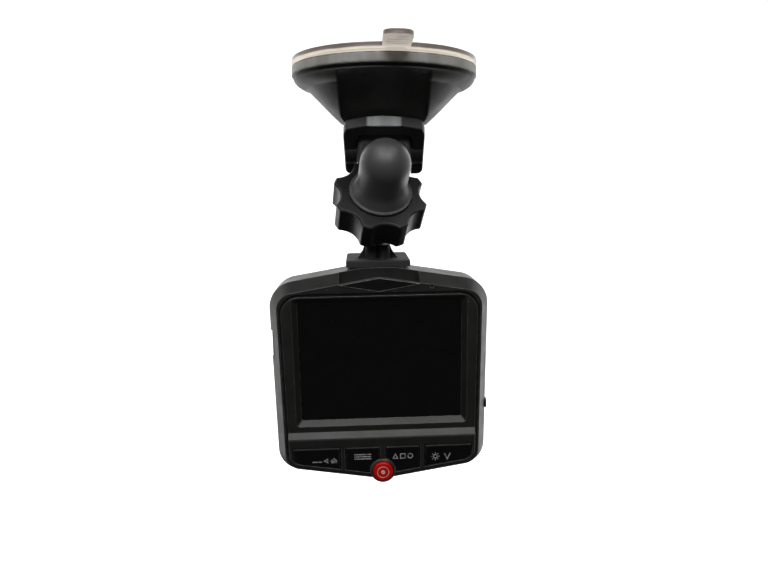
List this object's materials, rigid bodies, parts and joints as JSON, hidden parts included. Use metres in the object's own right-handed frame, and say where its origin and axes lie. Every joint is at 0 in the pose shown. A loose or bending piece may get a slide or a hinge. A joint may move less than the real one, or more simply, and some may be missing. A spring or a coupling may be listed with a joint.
{
  "type": "dash camera",
  "caption": "Windscreen dash camera with a rear screen and keys, hung from a lever-locked suction cup by an elbow arm and a clamped ball joint.",
  "frame": {"origin": "centre of the suction face, which goes against the windscreen", "axes": "+Z out of the suction face, so the camera hangs along -Z; -Y is the screen side, +Y the lens side"},
  "size_m": [0.0675, 0.0696, 0.1298],
  "materials": {
    "pad": "soft translucent",
    "mount": "fine matte",
    "pin": "satin",
    "case": "satin",
    "gloss_black": "gloss",
    "keys": "satin",
    "ok_red": "gloss",
    "screen_glass": "gloss",
    "module": "satin",
    "board": "solder mask",
    "battery": "satin",
    "lens_black": "gloss",
    "lens_glass": "coated",
    "ir_window": "gloss",
    "led": "clear",
    "metal": "satin",
    "card": "satin",
    "screw": "black zinc"
  },
  "bodies": {
    "mount": {"suction_pad": "pad", "suction_dome": "mount", "mount_arm": "mount"},
    "plunger": {"plunger_shaft": "mount", "lever_pin": "pin"},
    "lever": {"cam_lever": "mount"},
    "nut": {"clamp_nut": "mount"},
    "ball": {"pivot_ball": "mount"},
    "neck": {"neck_plate": "mount"},
    "power_button": {"power_button": "keys"},
    "memory_card": {"memory_card": "card"},
    "button_left": {"button_left": "keys"},
    "button_menu": {"button_menu": "keys"},
    "button_mode": {"button_mode": "keys"},
    "button_right": {"button_right": "keys"},
    "ok_button": {"ok_button": "ok_red"},
    "camera": {"rear_shell": "case", "front_shell": "case", "rear_fascia": "case", "diamond_insert": "gloss_black", "lcd_window": "screen_glass", "lcd_panel": "module", "main_board": "board", "battery": "battery", "sensor_board": "board", "image_sensor": "module", "lens_barrel": "lens_black", "lens_ring": "lens_black", "lens_glass": "lens_glass", "ir_window_left": "ir_window", "ir_window_right": "ir_window", "ir_leds": "led", "speaker": "metal", "microphone": "metal", "usb_socket": "metal", "card_socket": "metal", "tact_switches": "metal", "case_screws": "screw"}
  },
  "joints": [
    {"name": "plunger_slide", "type": "slide", "parent": "mount", "child": "plunger", "axis": [0, 0, 1], "range_m": [0, 0.0021], "deforming": ["suction_pad"]},
    {"name": "lever_hinge", "type": "hinge", "parent": "plunger", "child": "lever", "pos_m": [0, 0, -0.0265], "axis": [1, 0, 0], "range_deg": [0, 24]},
    {"name": "nut_spin", "type": "hinge", "parent": "mount", "child": "nut", "pos_m": [-0.00105, -0.01096, -0.03928], "axis": [0.1252, -0.6959, 0.7071], "continuous": true},
    {"name": "ball_tilt", "type": "hinge", "parent": "mount", "child": "ball", "pos_m": [-0.00231, -0.004, -0.04635], "axis": [0.999, 0.0419, 0.0175], "range_deg": [0, 70]},
    {"name": "neck_pan", "type": "hinge", "parent": "ball", "child": "neck", "pos_m": [-0.00231, -0.004, -0.04635], "axis": [-0.0174, -0.0007, 0.9998], "continuous": true},
    {"name": "plate_slide", "type": "slide", "parent": "neck", "child": "camera", "axis": [0.0419, -0.9991, 0], "range_m": [0, 0.018]},
    {"name": "button_left_press", "type": "slide", "parent": "camera", "child": "button_left", "axis": [-0.0419, 0.9991, 0], "range_m": [0, 0.0004], "stiffness_N_per_m": 600},
    {"name": "button_menu_press", "type": "slide", "parent": "camera", "child": "button_menu", "axis": [-0.0419, 0.9991, 0], "range_m": [0, 0.0004], "stiffness_N_per_m": 600},
    {"name": "button_mode_press", "type": "slide", "parent": "camera", "child": "button_mode", "axis": [-0.0419, 0.9991, 0], "range_m": [0, 0.0004], "stiffness_N_per_m": 600},
    {"name": "button_right_press", "type": "slide", "parent": "camera", "child": "button_right", "axis": [-0.0419, 0.9991, 0], "range_m": [0, 0.0004], "stiffness_N_per_m": 600},
    {"name": "ok_button_press", "type": "slide", "parent": "camera", "child": "ok_button", "axis": [-0.0419, 0.9991, 0], "range_m": [0, 0.0004], "stiffness_N_per_m": 600},
    {"name": "power_press", "type": "slide", "parent": "camera", "child": "power_button", "axis": [-0.999, -0.0419, -0.0175], "range_m": [0, 0.0005], "stiffness_N_per_m": 600},
    {"name": "card_slide", "type": "slide", "parent": "camera", "child": "memory_card", "axis": [-0.999, -0.0419, -0.0175], "range_m": [0, 0.012]}
  ],
  "couplings": [
    {"joint": "lever_hinge", "follows": "plunger_slide", "rad_per_m": 199.4}
  ]
}
